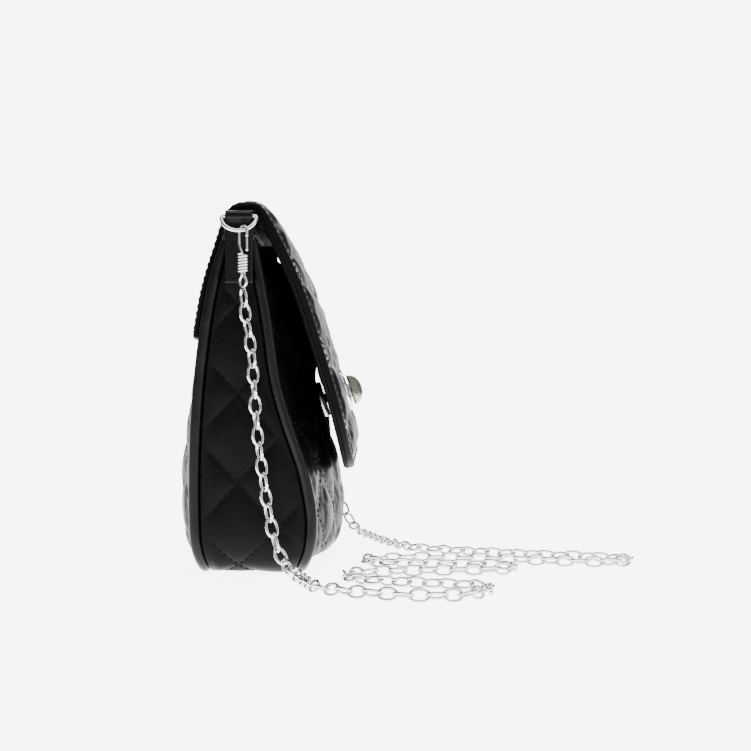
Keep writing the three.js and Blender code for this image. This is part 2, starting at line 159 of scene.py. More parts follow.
def ramp(tree, value, low, high, start, end):
    """The value mapped so that start gives low and end gives high."""
    node = tree.nodes.new("ShaderNodeMapRange")
    node.inputs["From Min"].default_value = start
    node.inputs["From Max"].default_value = end
    node.inputs["To Min"].default_value = low
    node.inputs["To Max"].default_value = high
    tree.links.new(value, node.inputs["Value"])
    return node.outputs["Result"]


def base_colour(tree, shader, value, first, second):
    """A base colour between two, mixed by a value from 0 to 1."""
    node = tree.nodes.new("ShaderNodeMix")
    node.data_type = "RGBA"
    node.inputs[6].default_value = (*first, 1)
    node.inputs[7].default_value = (*second, 1)
    tree.links.new(value, node.inputs[0])
    tree.links.new(node.outputs[2], shader.inputs["Base Color"])


def roughness(tree, shader, value, low, high):
    """A roughness that goes from low to high with a noise, whose values mostly lie between 0.3 and 0.7."""
    tree.links.new(ramp(tree, value, low, high, 0.3, 0.7), shader.inputs["Roughness"])


def bump(tree, shader, height, distance, strength):
    """A bump on top of those that the shader already has."""
    node = tree.nodes.new("ShaderNodeBump")
    node.inputs["Distance"].default_value = distance
    node.inputs["Strength"].default_value = strength
    tree.links.new(height, node.inputs["Height"])
    earlier = shader.inputs["Normal"].links
    if earlier:
        tree.links.new(earlier[0].from_socket, node.inputs["Normal"])
    tree.links.new(node.outputs["Normal"], shader.inputs["Normal"])


def leather(name, first, second, rough, gloss, pebble=0.00006):
    """Leather with fine pebbles and broad creases. rough is its lowest and highest roughness."""
    material, tree, shader = new_material(name)
    base_colour(tree, shader, noise(tree, 22, 4), first, second)
    roughness(tree, shader, noise(tree, 60, 5), *rough)
    shader.inputs["Specular IOR Level"].default_value = gloss
    coordinates = tree.nodes.new("ShaderNodeTexCoord")
    cells = tree.nodes.new("ShaderNodeTexVoronoi")
    cells.feature = "DISTANCE_TO_EDGE"
    cells.inputs["Scale"].default_value = 1500
    tree.links.new(coordinates.outputs["Object"], cells.inputs["Vector"])
    bump(tree, shader, ramp(tree, cells.outputs["Distance"], 0, 1, 0.0, 0.25), pebble, 0.5)
    bump(tree, shader, noise(tree, 260, 4), 0.00022, 0.45)
    bump(tree, shader, noise(tree, 42, 2), 0.0012, 0.35)
    return material


def metal(name, first, second, rough):
    """Polished metal in two close colours. rough is its lowest and highest roughness."""
    material, tree, shader = new_material(name)
    shader.inputs["Metallic"].default_value = 1.0
    base_colour(tree, shader, noise(tree, 90, 3), first, second)
    roughness(tree, shader, noise(tree, 700, 4), *rough)
    bump(tree, shader, noise(tree, 900, 3), 0.00003, 0.5)
    return material


def woven(name, first, second, threads, rough):
    """A weave of two crossing waves; threads is the waves' scale."""
    material, tree, shader = new_material(name)
    shader.inputs["Roughness"].default_value = rough
    shader.inputs["Specular IOR Level"].default_value = 0.08
    coordinates = tree.nodes.new("ShaderNodeTexCoord")
    product = tree.nodes.new("ShaderNodeMath")
    product.operation = "MULTIPLY"
    for place, direction in enumerate(("X", "Z")):
        wave = tree.nodes.new("ShaderNodeTexWave")
        wave.bands_direction = direction
        wave.inputs["Scale"].default_value = threads
        wave.inputs["Distortion"].default_value = 0.6
        tree.links.new(coordinates.outputs["Object"], wave.inputs["Vector"])
        tree.links.new(wave.outputs["Fac"], product.inputs[place])
    base_colour(tree, shader, product.outputs[0], first, second)
    bump(tree, shader, product.outputs[0], 0.0002, 0.7)
    return material


QUILTED = leather("quilted_leather", (0.0012, 0.0012, 0.0014), (0.003, 0.003, 0.0033), (0.3, 0.46), 0.035)
SMOOTH = leather(
    "smooth_leather", (0.001, 0.001, 0.0012), (0.0024, 0.0024, 0.0026), (0.28, 0.42), 0.12, pebble=0.00004
)
FLAP_UNDER = leather("flap_underside", (0.001, 0.001, 0.0012), (0.0022, 0.0022, 0.0024), (0.5, 0.65), 0.1)
THREAD = woven("thread", (0.0008, 0.0008, 0.001), (0.003, 0.003, 0.0032), 900, 0.6)
LINING = woven("lining_fabric", (0.008, 0.008, 0.009), (0.024, 0.024, 0.026), 520, 0.8)
BOARD = woven("stiffener_board", (0.2, 0.165, 0.12), (0.34, 0.29, 0.22), 240, 0.95)
SILVER = metal("silver_metal", (0.5, 0.49, 0.47), (0.64, 0.63, 0.6), (0.1, 0.2))
DARK_METAL = metal("dark_metal", (0.24, 0.225, 0.19), (0.34, 0.32, 0.28), (0.12, 0.2))


# ---------- mesh helpers ----------
def smoothstep(value, start, end):
    t = np.clip((np.asarray(value, float) - start) / (end - start), 0, 1)
    return t * t * (3 - 2 * t)


def make_piece(name, points, faces, material, slot, body="root", mend=True):
    """A visible piece that rides on a body. mend joins points that coincide and turns all faces outwards."""
    mesh = bpy.data.meshes.new(name)
    mesh.from_pydata((np.asarray(points) * MM).tolist(), [], faces)
    if mend:
        work = bmesh.new()
        work.from_mesh(mesh)
        bmesh.ops.remove_doubles(work, verts=work.verts, dist=1e-7)
        bmesh.ops.recalc_face_normals(work, faces=work.faces)
        work.to_mesh(mesh)
        work.free()
    mesh.polygons.foreach_set("use_smooth", [True] * len(mesh.polygons))
    mesh.materials.append(material)
    piece = bpy.data.objects.new(name, mesh)
    bpy.context.scene.collection.objects.link(piece)
    if body:
        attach(piece, body)
    return piece


def subdivided(piece):
    """The piece with its mesh smoothed into finer faces."""
    modifier = piece.modifiers.new("subdivision", "SUBSURF")
    modifier.levels = 1
    fine = piece.evaluated_get(bpy.context.evaluated_depsgraph_get())
    mesh = bpy.data.meshes.new_from_object(fine)
    piece.modifiers.clear()
    piece.data = mesh
    return piece


def catmull(points, per_span):
    """A uniform Catmull-Rom curve through the points, doubled past its ends."""
    p = np.asarray(points, float)
    padded = np.vstack([p[0], p, p[-1]])
    t = np.arange(per_span)[:, None] / per_span
    spans = []
    for i in range(len(p) - 1):
        a, b, c, d = padded[i : i + 4]
        v0, v1 = (c - a) * 0.5, (d - b) * 0.5
        spans.append((2 * b - 2 * c + v0 + v1) * t**3 + (-3 * b + 3 * c - 2 * v0 - v1) * t**2 + v0 * t + b)
    return np.vstack([*spans, p[-1:]])


def respaced(line, count=None, step=None):
    """The line's points again, evenly spaced along it."""
    along = np.concatenate([[0], np.cumsum(np.linalg.norm(np.diff(line, axis=0), axis=1))])
    wanted = np.linspace(0, along[-1], count) if count else np.arange(0, along[-1], step)
    return np.stack([np.interp(wanted, along, line[:, k]) for k in range(line.shape[1])], 1)


def grid_faces(rows, columns):
    """The four-sided faces of a grid of points."""
    i, j = np.meshgrid(np.arange(columns - 1), np.arange(rows - 1))
    a = (j * columns + i).ravel()
    return np.stack([a, a + 1, a + columns + 1, a + columns], 1)


def slab(outer, inner):
    """Points and faces of the closed solid between two equally large grids of points."""
    rows, columns = outer.shape[:2]
    size = rows * columns
    faces = grid_faces(rows, columns)
    back = faces[:, ::-1] + size
    rim = np.concatenate([
        np.arange(columns),
        np.arange(1, rows) * columns + columns - 1,
        (rows - 1) * columns + np.arange(columns - 2, -1, -1),
        np.arange(rows - 2, 0, -1) * columns,
    ])
    following = np.roll(rim, -1)
    sides = np.stack([rim, rim + size, following + size, following], 1)
    points = np.vstack([outer.reshape(-1, 3), inner.reshape(-1, 3)])
    return points, np.vstack([faces, back, sides]).tolist()


def ring_faces(count, size, wrapped=False):
    """The faces between rings of points, all of one size; wrapped joins the last ring to the first."""
    ring = np.arange(size)
    following = (ring + 1) % size
    faces = []
    for k in range(count if wrapped else count - 1):
        a, b = k * size, (k + 1) % count * size
        faces += np.stack([a + ring, a + following, b + following, b + ring], 1).tolist()
    return faces


def loft(rings, wrapped=False):
    """Points and faces of the solid through rings of points, with flat ends unless it is wrapped."""
    count, size = len(rings), len(rings[0])
    faces = ring_faces(count, size, wrapped)
    if not wrapped:
        faces.append(list(range(size))[::-1])
        faces.append(list(range((count - 1) * size, count * size)))
    return np.vstack(rings), faces


def tube_mesh(line, radius, sides, closed=False, first=(0.31, 0.17, 0.93)):
    """A tube round a line, with domed ends unless the line is closed.

    radius may be one per point, and first is the direction in which each ring starts, turned square to the line.
    """
    line = np.asarray(line, float)
    count = len(line)
    tangents = np.gradient(line, axis=0)
    if closed:
        tangents = np.roll(line, -1, 0) - np.roll(line, 1, 0)
    tangents /= np.linalg.norm(tangents, axis=1)[:, None]
    normal = np.array(first, float)
    radii = np.full(count, radius, float) if np.isscalar(radius) else np.asarray(radius, float)
    angles = np.linspace(0, 2 * math.pi, sides, endpoint=False)
    rings = []
    for k in range(count):
        normal = normal - tangents[k] * (normal @ tangents[k])
        normal /= np.linalg.norm(normal)
        other = np.cross(tangents[k], normal)
        rings.append(line[k] + radii[k] * (np.outer(np.cos(angles), normal) + np.outer(np.sin(angles), other)))
    faces = ring_faces(count, sides, closed)
    if closed:
        return np.vstack(rings), faces
    tips = [line[0] - tangents[0] * radii[0] * 0.6, line[-1] + tangents[-1] * radii[-1] * 0.6]
    last, tip = (count - 1) * sides, count * sides
    for k in range(sides):
        following = (k + 1) % sides
        faces.append([following, k, tip])
        faces.append([last + k, last + following, tip + 1])
    return np.vstack([*rings, *tips]), faces


def joined(parts):
    """Several (points, faces) as one."""
    points, faces, start = [], [], 0
    for some, those in parts:
        points.append(np.asarray(some))
        faces += [[k + start for k in face] for face in those]
        start += len(some)
    return np.vstack(points), faces


# ---------- stitches ----------
def stitch_mesh(start, end, normal, radius=STITCH_RADIUS, sink=0.12):
    """One stitch: a short thread that dives into the leather at both ends."""
    start, end, normal = np.asarray(start), np.asarray(end), np.asarray(normal)
    t = np.linspace(0, 1, 5)[:, None]
    arch = (radius * 0.9) * np.sin(t * math.pi) ** 0.5 - sink
    line = start + (end - start) * t + normal * arch
    return tube_mesh(line, radius * np.array([0.6, 1, 1, 1, 0.6]), 6, first=normal)


def sewn(name, threads, slot="quilted_leather", body="root"):
    """A piece made of stitches."""
    return make_piece(name, *joined(threads), THREAD, slot, body=body, mend=False)


# ---------- the bag's side profile ----------
FRONT_LINE = catmull(FRONT_POINTS, 24)
BACK_LINE = catmull(BACK_POINTS, 24)


def front_edge(z):
    """The y of the bag's front rim at a height."""
    return np.interp(z, FRONT_LINE[:, 0], FRONT_LINE[:, 1])


def back_edge(z):
    """The y of the bag's back rim at a height."""
    return np.interp(z, BACK_LINE[:, 0], BACK_LINE[:, 1])


FULLNESS_LINE = catmull(FULLNESS_POINTS, 12)


def front_fullness(z):
    """How far the middle of the front bulges out past its rim at a height."""
    return np.interp(z, FULLNESS_LINE[:, 0], FULLNESS_LINE[:, 1])


def back_fullness(z):
    """How far the middle of the back bulges out past its rim at a height."""
    height = np.clip(np.asarray(z, float) / BODY_HEIGHT, 0, 1)
    return BACK_BULGE * np.sin(math.pi * height**0.443)


def crown(across):
    """How the bulge falls off from the middle, at 0, to the sides, at -1 and 1."""
    return 1 - np.abs(np.clip(across, -1, 1)) ** 2.5


def half_width(z, inset):
    """Half the bag's width at a height, inset from its outline by a margin."""
    radius = CORNER - inset
    drop = np.clip(CORNER - np.asarray(z, float), 0, radius)
    return FLAT_HALF + np.sqrt(np.maximum(0, radius**2 - drop**2))


def hoop(s, inset):
    """The x and z of the hoop round the bag's sides and bottom, s along it from the bottom's middle."""
    s = np.asarray(s, float)
    side, run = np.where(s < 0, -1, 1), np.abs(s)
    angle = np.clip((run - FLAT_HALF) / CORNER, 0, math.pi / 2)
    rise = np.maximum(0, run - FLAT_HALF - ARC)
    x = np.minimum(run, FLAT_HALF) + (CORNER - inset) * np.sin(angle)
    z = CORNER - (CORNER - inset) * np.cos(angle) + rise
    return side * x, z


# ---------- chain strap ----------
def link_mesh():
    """One oval wire link, its length along X and its width along Y."""

    def squared(wave):
        return np.sign(wave) * np.abs(wave) ** 0.88

    angles = np.linspace(0, 2 * math.pi, 145)
    x = (LINK_LENGTH / 2 - LINK_WIRE) * squared(np.cos(angles))
    y = (LINK_WIDTH / 2 - LINK_WIRE) * squared(np.sin(angles))
    line = np.column_stack([x, y, 0 * x])
    return tube_mesh(respaced(line, 29)[:-1], LINK_WIRE, 8, closed=True, first=(0, 0, 1))


def chain():
    """Links along the route, each turned about a quarter from the one before."""
    route = respaced(catmull(CHAIN_ROUTE, 16), step=1.0)
    stations = respaced(route, count=int(len(route) / LINK_PITCH) + 1)
    points, faces = link_mesh()
    places = []
    draw = random.Random(4)
    for k in range(len(stations) - 1):
        centre = (stations[k] + stations[k + 1]) / 2
        along = stations[k + 1] - stations[k]
        along /= np.linalg.norm(along)
        upright = abs(along[2])
        reference = np.array([math.copysign(upright, centre[0]), 0, 1 - upright])
        side = np.cross(reference, along)
        side /= np.linalg.norm(side)
        over = np.cross(along, side)
        roll = math.radians((-28 if k % 2 else 62) + draw.uniform(-9, 9))
        across = side * math.cos(roll) + over * math.sin(roll)
        places.append((points @ np.array([along, across, np.cross(along, across)]) + centre, faces))
    piece = make_piece("chain_strap", *joined(places), SILVER, "silver_metal", mend=False)
    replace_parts(piece, "chain")
    return piece, stations


chain_strap, chain_line = chain()


# ---------- snap hooks, D-rings and strap tabs ----------
def hook_point(side, offset, z):
    """A point of the hook's plane, which is twisted about the hook's own axis."""
    return (side * (HOOK_X + offset * math.cos(HOOK_TWIST)), HOOK_Y - offset * math.sin(HOOK_TWIST), z)


def hook_wire(side, name):
    """The wire: over the top in a bend, down through the coil, round the eye and back up."""
    bend = HOOK_TOP - HOOK_BEND
    line = [hook_point(side, HOOK_BEND, bend - 1.6)]
    for angle in np.linspace(0, math.pi, 11):
        line.append(hook_point(side, HOOK_BEND * math.cos(angle), bend + HOOK_BEND * math.sin(angle)))
    for offset, z in (
        (-HOOK_BEND, COIL_TOP + 3.4), (-1.6, COIL_TOP + 1.2), (-0.75, COIL_TOP - 0.6), (-0.75, COIL_LOW + 0.4),
    ):
        line.append(hook_point(side, offset, z))
    for angle in np.radians(np.linspace(125, 415, 11)):
        z = EYE_LOW + EYE_RADIUS + EYE_RADIUS * math.sin(angle)
        line.append(hook_point(side, EYE_RADIUS * math.cos(angle), z))
    line += [hook_point(side, 0.75, COIL_LOW + 0.4), hook_point(side, 0.75, COIL_TOP - 1.5)]
    bent = tube_mesh(respaced(catmull(line, 10), count=150), HOOK_WIRE, 14)
    wire = make_piece("hook_" + name, *bent, SILVER, "silver_metal")
    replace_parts(wire, "hook_wire_" + name)
    return wire


def hook_coil(side, name):
    """The wire wrapped round the hook's neck, its turns a little uneven."""
    spread = np.linspace(0, 1, 150)
    wind = 2 * math.pi * COIL_TURNS * spread
    rise = COIL_LOW + 0.5 + (COIL_TOP - COIL_LOW - 1.0) * spread
    radius = COIL_RADIUS + 0.05 * np.sin(wind * 0.37)
    helix = np.stack([side * HOOK_X + radius * np.cos(wind), HOOK_Y + radius * np.sin(wind), rise], 1)
    coil = make_piece("hook_wrap_" + name, *tube_mesh(helix, COIL_WIRE, 10), SILVER, "silver_metal")
    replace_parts(coil, "hook_coil_" + name)
    return coil


def hook_gate(side, name):
    """The straight spring gate that closes the hook."""
    low = hook_point(side, HOOK_BEND, COIL_TOP + 0.5)
    high = hook_point(side, HOOK_BEND, HOOK_TOP - 4.7)
    bar = tube_mesh(respaced(np.array([low, high]), count=12), GATE_WIRE, 12)
    gate = make_piece("gate_" + name, *bar, SILVER, "silver_metal", "hook_gate_" + name)
    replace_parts(gate, "hook_gate_" + name)
    return gate


def d_ring(side, name):
    """A straight bar inside the strap tab and a round bow that leans out below it."""
    tilt = math.radians(35)

    def at(y, down):
        return (side * (TAB_X + down * math.sin(tilt)), TAB_Y + y, RING_BAR_Z - down * math.cos(tilt))

    line = [at(0.2, 0), at(2.6, 0), at(5.4, 0), at(6.7, 0.25), at(RING_HALF, 1)]
    for angle in np.linspace(0, math.pi, 17)[1:-1]:
        down = 0.4 + RING_HALF * math.sin(angle)
        if down > 1.6:
            line.append(at(RING_HALF * math.cos(angle), down))
    line += [at(-RING_HALF, 1), at(-6.7, 0.25), at(-5.4, 0), at(-2.6, 0), at(-0.2, 0)]
    bent = tube_mesh(respaced(catmull(line, 12), count=120), RING_WIRE, 14)
    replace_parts(make_piece("d_ring_" + name, *bent, SILVER, "silver_metal", "dring_" + name), "dring_" + name)


def strap_tab(side, name):
    """A strip folded over the D-ring's bar, both legs sewn to the gusset."""
    drop = TAB_LOW - RING_BAR_Z
    outline = [(TAB_LEG, drop), (TAB_LEG, -16), (TAB_LEG, -6), (TAB_LEG, -2.6)]
    for angle in np.radians(np.linspace(-58, 238, 25)):
        outline.append((2.25 * math.cos(angle), 2.25 * math.sin(angle)))
    outline += [(-TAB_LEG, -2.6), (-TAB_LEG, -6), (-TAB_LEG, -16), (-TAB_LEG, drop)]
    outline = respaced(np.array(outline), count=90)
    rings = []
    for width in np.linspace(-TAB_HALF, TAB_HALF, 13):
        thinner = 1 - 0.18 * np.clip((abs(width) - 4.7) / 0.8, 0, 1) ** 2
        x = side * (TAB_X + outline[:, 0] * thinner)
        rings.append(np.column_stack([x, np.full(len(outline), TAB_Y + width), RING_BAR_Z + outline[:, 1]]))
    tab = make_piece("strap_loop_" + name, *loft(rings), SMOOTH, "smooth_leather")
    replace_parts(tab, "strap_tab_" + name)


def tab_stitches(side, name):
    """A rectangle of stitches on the tab's outer face."""
    face = side * (TAB_X + TAB_LEG)
    low, high, half = TAB_LOW + 1.6, 132, 4.3
    corners = [(-half, low), (-half, high), (half, high), (half, low), (-half, low)]
    threads = []
    for (y0, z0), (y1, z1) in zip(corners, corners[1:]):
        count = max(2, int(math.hypot(y1 - y0, z1 - z0) / 2.2))
        for k in range(count):
            ends = [(k + share) / count for share in (0.14, 0.86)]
            start, end = ((face, TAB_Y + y0 + (y1 - y0) * t, z0 + (z1 - z0) * t) for t in ends)
            threads.append(stitch_mesh(start, end, (side, 0, 0)))
    sewn("tab_stitches_" + name, threads, "smooth_leather")


hooks = []
for name, side in (("left", -1), ("right", 1)):
    hooks += [hook_wire(side, name), hook_coil(side, name), hook_gate(side, name)]
    d_ring(side, name)
    strap_tab(side, name)
    tab_stitches(side, name)


# ---------- quilting ----------
PANEL_PUFF, GUSSET_PUFF, BASE_PUFF, FLAP_PUFF = 1.5, 1.25, 0.85, 1.8
GROOVE_DEPTH = 0.25
SEAM_PITCH, SEAM_THREAD, SEAM_SINK = 3.1, 0.27, 0.02
STITCHED_SHARE = 0.7
EDGE_PITCH, EDGE_SINK = 2.9, 0.08
CLOTH_FRAMES = 20
FURTHEST_BLOWN = 1.6


def seam_distances(a, b, origin):
    """How far a point is from the nearest seam of each slant, in shares of the spacing, from 0 to 0.5."""
    p = (a - origin[0]) / QUILT_ACROSS
    q = (b - origin[1]) / QUILT_ALONG
    return np.abs(p + q - np.round(p + q)), np.abs(p - q - np.round(p - q))


def puff(a, b, origin, height):
    """The quilting's rise over the plain skin, most in a diamond's middle, with a groove along each seam."""
    one, two = seam_distances(a, b, origin)
    rise = (1 - (1 - 2 * one) ** 2.6) * (1 - (1 - 2 * two) ** 2.6)
    groove = np.exp(-((np.minimum(one, two) / 0.018) ** 2))
    return height * rise - GROOVE_DEPTH * groove


class Strip:
    """A stretch of the purse's skin.

    place(a, b) is its plain surface. b runs from low to high, and a between the two values of span(b).
    """

    def __init__(self, place, span, low, high, outward):
        self.place = place
        self.span = span
        self.low = low
        self.high = high
        self.outward = outward

    def grid(self, columns, rows):
        """A grid of places over the strip, and the plain surface's points there."""
        b = np.linspace(self.low, self.high, rows)[:, None] * np.ones((1, columns))
        first, last = self.span(b)
        a = first + (last - first) * np.linspace(0, 1, columns)[None, :]
        return a, b, self.place(a, b)

    def normals(self, points):
        across, along = np.gradient(points, axis=1), np.gradient(points, axis=0)
        normal = np.cross(across, along) * self.outward
        return normal / np.maximum(np.linalg.norm(normal, axis=2), 1e-9)[..., None]

    def edge_fade(self, a, b, width=5.0):
        """A value that goes from 0 at the strip's edges to 1 at the width inside them."""
        first, last = self.span(b)
        inside = np.minimum(np.minimum(a - first, last - a), np.minimum(b - self.low, self.high - b))
        return smoothstep(inside, 0, width)

    def off_edges(self, a, b, margin=3.0):
        """Whether places (a, b) lie inside the strip's edges by more than the margin."""
        first, last = self.span(np.clip(b, self.low, self.high))
        along = (b > self.low + margin) & (b < self.high - margin)
        return along & (a > first + margin) & (a < last - margin)

    def sample(self, grid, a, b):
        """Points of a grid of values at places (a, b)."""
        rows, columns = grid.shape[:2]
        first, last = self.span(b)
        u = np.clip((a - first) / (last - first), 0, 1) * (columns - 1.001)
        v = np.clip((b - self.low) / (self.high - self.low), 0, 1) * (rows - 1.001)
        i, j = u.astype(int), v.astype(int)
        fu, fv = (u - i)[:, None], (v - j)[:, None]
        near = grid[j, i] * (1 - fu) + grid[j, i + 1] * fu
        far = grid[j + 1, i] * (1 - fu) + grid[j + 1, i + 1] * fu
        return near * (1 - fv) + far * fv


def seam_stitches(strip, skin, origin, allowed):
    """Stitches along every seam of the quilting, where allowed(a, b) holds at both ends of a stitch."""
    normals = strip.normals(skin)
    slope = QUILT_ALONG / QUILT_ACROSS
    step = SEAM_PITCH / math.hypot(1, slope)
    lefts, rights = strip.span(np.linspace(strip.low, strip.high, 40))
    left, right = float(np.min(lefts)), float(np.max(rights))
    reach = (strip.high - strip.low) / slope + (right - left)
    first = math.floor((left - reach - origin[0]) / QUILT_ACROSS)
    last = math.ceil((right + reach - origin[0]) / QUILT_ACROSS)
    found = []
    for slant in (slope, -slope):
        for k in range(first, last + 1):
            a = np.arange(left, right, step)
            b = origin[1] + slant * (a - (origin[0] + k * QUILT_ACROSS))
            ends_a, ends_b = a + step * STITCHED_SHARE, b + slant * step * STITCHED_SHARE
            ok = allowed(a, b) & allowed(ends_a, ends_b)
            if not ok.any():
                continue
            starts = strip.sample(skin, a[ok], b[ok])
            ends = strip.sample(skin, ends_a[ok], ends_b[ok])
            out = strip.sample(normals, a[ok], b[ok])
            found += [stitch_mesh(s, e, n, SEAM_THREAD, SEAM_SINK) for s, e, n in zip(starts, ends, out)]
    return found


def line_stitches(points, normals):
    """Stitches along a line of points with a normal at each."""
    along = np.concatenate([[0], np.cumsum(np.linalg.norm(np.diff(points, axis=0), axis=1))])

    def at(values, distance):
        return np.array([np.interp(distance, along, values[:, k]) for k in range(3)])

    found = []
    for start in np.arange(EDGE_PITCH / 2, along[-1] - EDGE_PITCH, EDGE_PITCH):
        end = start + EDGE_PITCH * 0.72
        normal = at(normals, start)
        normal /= np.linalg.norm(normal)
        found.append(stitch_mesh(at(points, start), at(points, end), normal, sink=EDGE_SINK))
    return found


def blown(points, pinned, outward, name):
    """The skin after a cloth simulation, held at its pinned points and pressed out by its wadding."""
    rows, columns = points.shape[:2]
    faces = grid_faces(rows, columns)
    if outward < 0:
        faces = faces[:, ::-1]
    mesh = bpy.data.meshes.new(name + "_cloth")
    mesh.from_pydata((points.reshape(-1, 3) * MM).tolist(), [], faces.tolist())
    sheet = bpy.data.objects.new(name + "_cloth", mesh)
    scene = bpy.context.scene
    scene.collection.objects.link(sheet)
    group = sheet.vertex_groups.new(name="held")
    weights = pinned.ravel()
    for index in np.nonzero(weights > 0.01)[0]:
        group.add([int(index)], float(weights[index]), "REPLACE")
    modifier = sheet.modifiers.new("cloth", "CLOTH")
    settings = modifier.settings
    settings.quality = 6
    settings.mass = 0.35
    settings.tension_stiffness = 20
    settings.compression_stiffness = 20
    settings.shear_stiffness = 8
    settings.bending_stiffness = 0.6
    settings.air_damping = 4
    settings.vertex_group_mass = "held"
    settings.pin_stiffness = 60
    settings.shrink_min = -0.02
    settings.use_pressure = True
    settings.uniform_pressure_force = 3.5
    settings.effector_weights.gravity = 0
    modifier.collision_settings.use_collision = False
    modifier.collision_settings.use_self_collision = False
    modifier.point_cache.frame_start = 1
    modifier.point_cache.frame_end = CLOTH_FRAMES
    for number in range(1, CLOTH_FRAMES + 1):
        scene.frame_set(number)
    evaluated = sheet.evaluated_get(bpy.context.evaluated_depsgraph_get())
    moved = np.zeros(rows * columns * 3)
    evaluated.data.vertices.foreach_get("co", moved)
    moved = moved.reshape(rows, columns, 3) / MM
    bpy.data.objects.remove(sheet)
    scene.frame_set(1)
    shift = moved - points
    far = np.linalg.norm(shift, axis=2)
    shift *= (np.minimum(far, FURTHEST_BLOWN) / np.maximum(far, 1e-9))[..., None]
    return points + shift


def pressed(skin, a, b, origin, fade, outward, name):
    """The skin blown out between its seams; fade is 0 where it is sewn down at its edges."""
    one, two = seam_distances(a, b, origin)
    seam = np.exp(-((np.minimum(one, two) / 0.045) ** 2))
    held = np.maximum(seam, 1 - smoothstep(fade, 0.0, 0.75))
    return blown(skin, held, outward, name)


# ---------- quilted panels, gussets and base ----------
def quilt(strip, origin, height, columns, rows, sink=0.0, filling=None, name=None):
    """The strip's padded skin, puffed between its seams.

    sink is how far its seams lie behind the plain surface, and filling(a, b) is taken off that. A skin with a
    name is blown out as well.
    """
    a, b, plain = strip.grid(columns, rows)
    fade = strip.edge_fade(a, b)
    lift = puff(a, b, origin, height) * fade
    if filling:
        sink = sink - filling(a, b)
    skin = plain + strip.normals(plain) * (lift - sink * fade)[..., None]
    if name:
        skin = pressed(skin, a, b, origin, fade, strip.outward, name)
    return skin


def quilted_panel(name, node, strip, skin, fine=False):
    """The piece from the skin to a skin's thickness behind it, in the node's place."""
    inner = skin - strip.normals(skin) * SKIN
    panel = make_piece(name + "_quilted", *slab(skin, inner), QUILTED, "quilted_leather")
    if fine:
        subdivided(panel)
    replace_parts(panel, node)
    return panel


def panel_strip(edge, outward, fullness, top):
    """The front or back panel, inside its piping: a is x and b is z."""

    def place(x, z):
        y = edge(z) + outward * (fullness(z) * crown(x / half_width(z, SEAM)) - BULGE_SINK)
        return np.stack([x, y, z], -1)

    def span(z):
        half = half_width(z, SEAM)
        return -half, half

    return Strip(place, span, SEAM + 0.01, top, -outward)


def hoop_strip(low, high, inset):
    """A stretch of the band between the pipings: a is y, b runs along the hoop."""

    def place(y, s):
        x, z = hoop(s, inset)
        return np.stack([x, y, z], -1)

    def span(s):
        rim = hoop(s, 0)[1]
        return front_edge(rim) + SEAM, back_edge(rim) - SEAM

    return Strip(place, span, low, high, 1)


def front_filling(x, z):
    """How far the front fills out round the snap, though not under it, and below the flap's fold."""
    round_snap = 4.0 * np.exp(-(((z - 68) / 18) ** 2)) * smoothstep(np.hypot(x, z - 68.5), 9, 17)
    under_fold = 2.0 * np.exp(-(((z - 127) / 4.5) ** 2))
    return (round_snap + under_fold) * crown(x / half_width(z, SEAM))


HOOP_HALF = FLAT_HALF + ARC + BODY_HEIGHT - CORNER
QUILT_MIDDLE = 9.9
GUSSET_SEAM = FLAT_HALF + ARC - CORNER + 1.0
PANEL_ORIGIN = (0, 6)

for name, edge, outward, fullness, top, sink, filling in (
    ("front_panel", front_edge, -1, front_fullness, BODY_HEIGHT, 1.4, front_filling),
    ("back_panel", back_edge, 1, back_fullness, BODY_HEIGHT + 2, 1.8, None),
):
    strip = panel_strip(edge, outward, fullness, top)
    skin = quilt(strip, PANEL_ORIGIN, PANEL_PUFF, 112, 84, sink, filling, name)
    quilted_panel(name, name, strip, skin, fine=True)
    sewn(name + "_stitches", seam_stitches(strip, skin, PANEL_ORIGIN, strip.off_edges))

for name, low, high in (
    ("gusset_left", -HOOP_HALF, -FLAT_HALF - 0.35),
    ("gusset_right", FLAT_HALF + 0.35, HOOP_HALF),
):
    strip = hoop_strip(low, high, 0.5)
    origin = (QUILT_MIDDLE, math.copysign(GUSSET_SEAM, low))
    skin = quilt(strip, origin, GUSSET_PUFF, 46, 190)
    quilted_panel(name, name, strip, skin)
    sewn(name + "_stitches", seam_stitches(strip, skin, origin, strip.off_edges))

strip = hoop_strip(-FLAT_HALF, FLAT_HALF, 0.9)
skin = quilt(strip, (QUILT_MIDDLE, 0), BASE_PUFF, 40, 150)
quilted_panel("base", "base_panel", strip, skin)


# ---------- piping ----------
def piping(edge, inward, name):
    """The round cord inside a rim, down one side, along the bottom and up the other, a little uneven."""
    s = np.linspace(-HOOP_HALF, HOOP_HALF, 340)
    x, z = hoop(s, PIPING)
    line = np.stack([x, edge(hoop(s, 0)[1]) + inward * PIPING, z], 1)
    wobble = PIPING * (1 - 0.012 * (1 + np.sin(s * 0.31) * np.sin(s * 0.117)))
    cord = make_piece("piping_" + name + "_cord", *tube_mesh(line, wobble, 20), SMOOTH, "smooth_leather")
    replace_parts(cord, "piping_" + name)


piping(front_edge, 1, "front")
piping(back_edge, -1, "back")


# ---------- lining ----------
LINING_FULLNESS = 0.86


